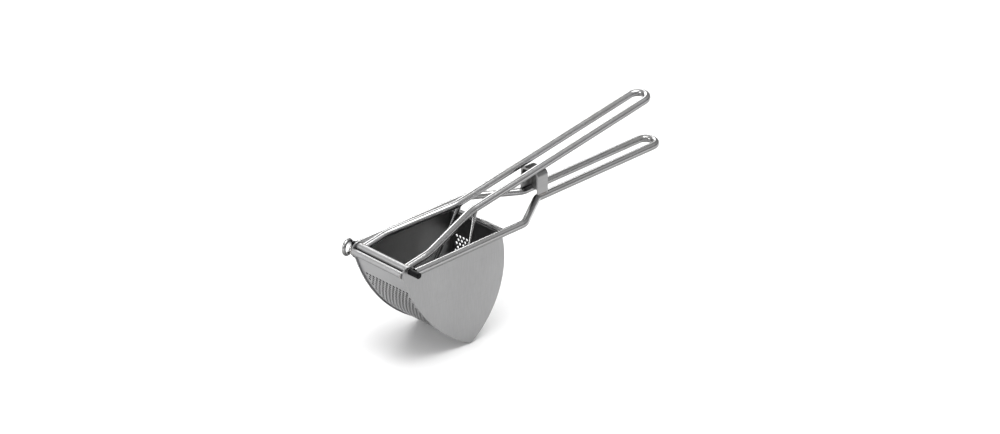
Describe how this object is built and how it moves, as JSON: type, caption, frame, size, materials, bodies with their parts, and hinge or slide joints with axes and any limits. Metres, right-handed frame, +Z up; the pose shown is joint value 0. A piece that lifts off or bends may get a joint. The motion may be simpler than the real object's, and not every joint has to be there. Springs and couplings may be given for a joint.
{
  "type": "potato ricer",
  "caption": "Lever potato ricer with two long looped steel rod handles, a wedge hopper of perforated sheet between side plates, and a hinged curved pusher",
  "frame": {"origin": "centre of the underside of the whole ricer's bounding box, on its mirror plane, level with the wedge's lower tip", "axes": "+X runs from the hinge to the grips, +Y across the ricer along the hinge pin, to its ring end, +Z up out of the hopper's mouth"},
  "size_m": [0.3968, 0.103, 0.1718],
  "materials": {
    "rod_steel": "polished stainless rod with fine drawing marks",
    "plate_steel": "satin stainless sheet",
    "screen_steel": "satin perforated stainless sheet",
    "arch_steel": "bent stainless strip, satin",
    "pusher_steel": "satin stainless sheet, scuffed",
    "tube_steel": "satin stainless tube",
    "pin_steel": "turned stainless pin",
    "black_sleeve": "black plastic bearing sleeve, slightly shiny"
  },
  "bodies": {
    "frame": {"frame_rod": "rod_steel", "side_plate_left": "plate_steel", "side_plate_right": "plate_steel", "front_screen": "screen_steel", "rear_screen": "screen_steel", "front_rim_bar": "rod_steel", "rear_rim_bar": "rod_steel", "bottom_seam_bar": "rod_steel", "stop_arch": "arch_steel"},
    "lever": {"lever_rod": "rod_steel", "hinge_tube": "tube_steel", "pusher_blade": "pusher_steel", "pusher_strut_left": "rod_steel", "pusher_strut_right": "rod_steel"},
    "pin": {"pivot_pin": "pin_steel", "pull_ring": "rod_steel", "pin_sleeve_left": "black_sleeve", "pin_sleeve_right": "black_sleeve"}
  },
  "joints": [
    {"name": "lever_hinge", "type": "hinge", "parent": "frame", "child": "lever", "pos_m": [-0.18251, 0, 0.11138], "axis": [0, -1, 0], "range_deg": [0, 110]},
    {"name": "pin_pull", "type": "slide", "parent": "frame", "child": "pin", "axis": [0, 1, 0], "range_m": [0, 0.09]}
  ]
}
